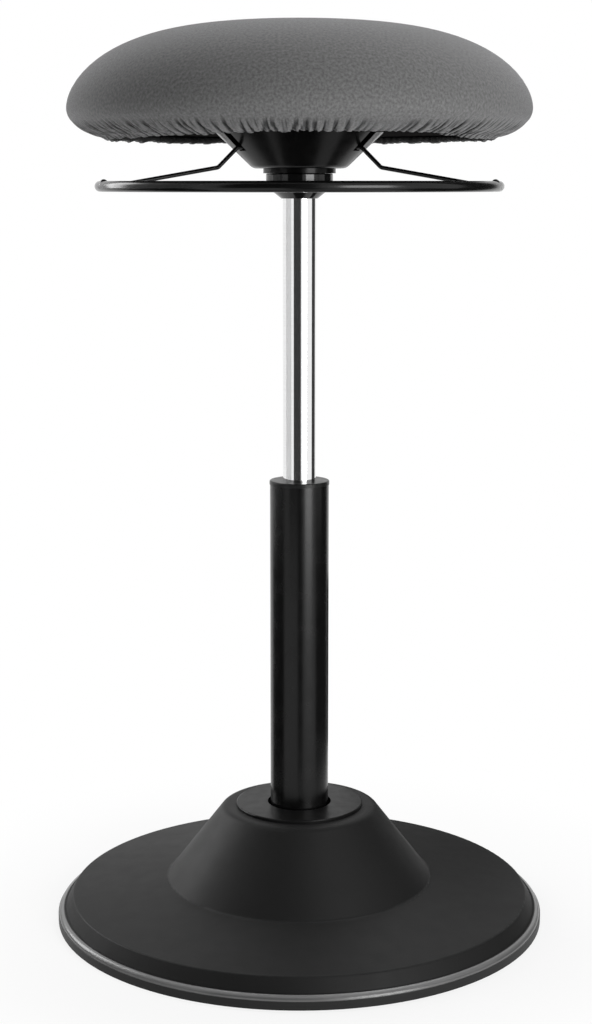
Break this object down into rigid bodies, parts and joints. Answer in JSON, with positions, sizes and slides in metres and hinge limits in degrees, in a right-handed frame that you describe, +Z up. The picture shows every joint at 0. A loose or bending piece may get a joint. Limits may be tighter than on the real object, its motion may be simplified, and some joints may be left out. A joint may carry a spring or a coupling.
{
  "type": "office stool",
  "caption": "Leaning office stool: round padded seat with a gathered fabric cover on a gas lift with a ring release, tilting in a weighted round base with a cone.",
  "frame": {"origin": "centre of the base's underside, on the floor", "axes": "+Z up along the upright column, -Y towards the front that the picture shows, +X to its right"},
  "size_m": [0.4213, 0.4214, 0.7599],
  "materials": {
    "cover_plastic": "moulded black plastic, soft sheen",
    "edge_rubber": "dark grey rubber edge",
    "cap_plastic": "satin black plastic",
    "iron": "black-coated iron casting",
    "steel": "zinc-plated and ground steel",
    "black_rubber": "black rubber",
    "socket_metal": "machined aluminium",
    "tube_paint": "satin black powder coat",
    "guide_plastic": "black acetal plastic",
    "chrome": "polished chrome",
    "hub_paint": "semi-gloss black",
    "collar_gloss": "gloss black plastic",
    "board": "black board",
    "foam": "moulded foam",
    "cloth": "dark grey stretch fabric",
    "elastic": "black elastic",
    "ring_paint": "gloss black paint"
  },
  "bodies": {
    "base": {"base_cover": "cover_plastic", "edge_ring": "edge_rubber", "ballast_plate": "iron", "cover_screws": "steel", "tilt_housing": "iron", "housing_bolts": "steel", "race_ring": "iron", "clamp_screws": "steel", "cap_plate": "cap_plastic", "stop_buffer": "black_rubber"},
    "tilt_bearing": {"tilt_rubber": "black_rubber"},
    "column": {"column_socket": "socket_metal", "outer_tube": "tube_paint", "guide_bush": "guide_plastic", "bearing_washer": "steel", "ball_cage": "steel"},
    "rod": {"piston_rod": "steel", "piston": "guide_plastic", "thrust_washer": "steel", "bump_stop": "black_rubber", "clip_washer": "steel", "retaining_clip": "steel"},
    "seat": {"pressure_tube": "chrome", "rod_guide": "guide_plastic", "valve_block": "socket_metal", "taper_socket": "hub_paint", "hub_collar": "collar_gloss", "seat_hub": "hub_paint", "socket_screws": "steel", "seat_board": "board", "hub_screws": "steel", "seat_foam": "foam", "seat_cover": "cloth", "hem_elastic": "elastic"},
    "release_ring": {"handle_ring": "ring_paint", "arm_left": "ring_paint", "arm_right": "ring_paint", "arm_rear": "ring_paint", "release_plate": "ring_paint"},
    "button": {"release_button": "steel"}
  },
  "joints": [
    {"name": "tilt_side", "type": "hinge", "parent": "base", "child": "tilt_bearing", "pos_m": [0, 0, 0.082], "axis": [0, 1, 0], "range_deg": [-4.5, 4.5], "stiffness_Nm_per_rad": 240},
    {"name": "tilt_front", "type": "hinge", "parent": "tilt_bearing", "child": "column", "pos_m": [0, 0, 0.082], "axis": [1, 0, 0], "range_deg": [-4.5, 4.5], "stiffness_Nm_per_rad": 240},
    {"name": "seat_swivel", "type": "hinge", "parent": "column", "child": "rod", "pos_m": [0, 0, 0.03], "axis": [0, 0, 1], "continuous": true},
    {"name": "seat_height", "type": "slide", "parent": "rod", "child": "seat", "axis": [0, 0, 1], "range_m": [-0.23, 0]},
    {"name": "release_lift", "type": "hinge", "parent": "seat", "child": "release_ring", "pos_m": [0, -0.02925, 0.67175], "axis": [-1, 0, 0], "range_deg": [0, 4], "stiffness_Nm_per_rad": 8, "springref_deg": -11.46},
    {"name": "button_press", "type": "slide", "parent": "seat", "child": "button", "axis": [0, 0, 1], "range_m": [-0.0021, 0]}
  ],
  "couplings": [
    {"joint": "button_press", "follows": "release_lift", "m_per_rad": -0.02925}
  ]
}
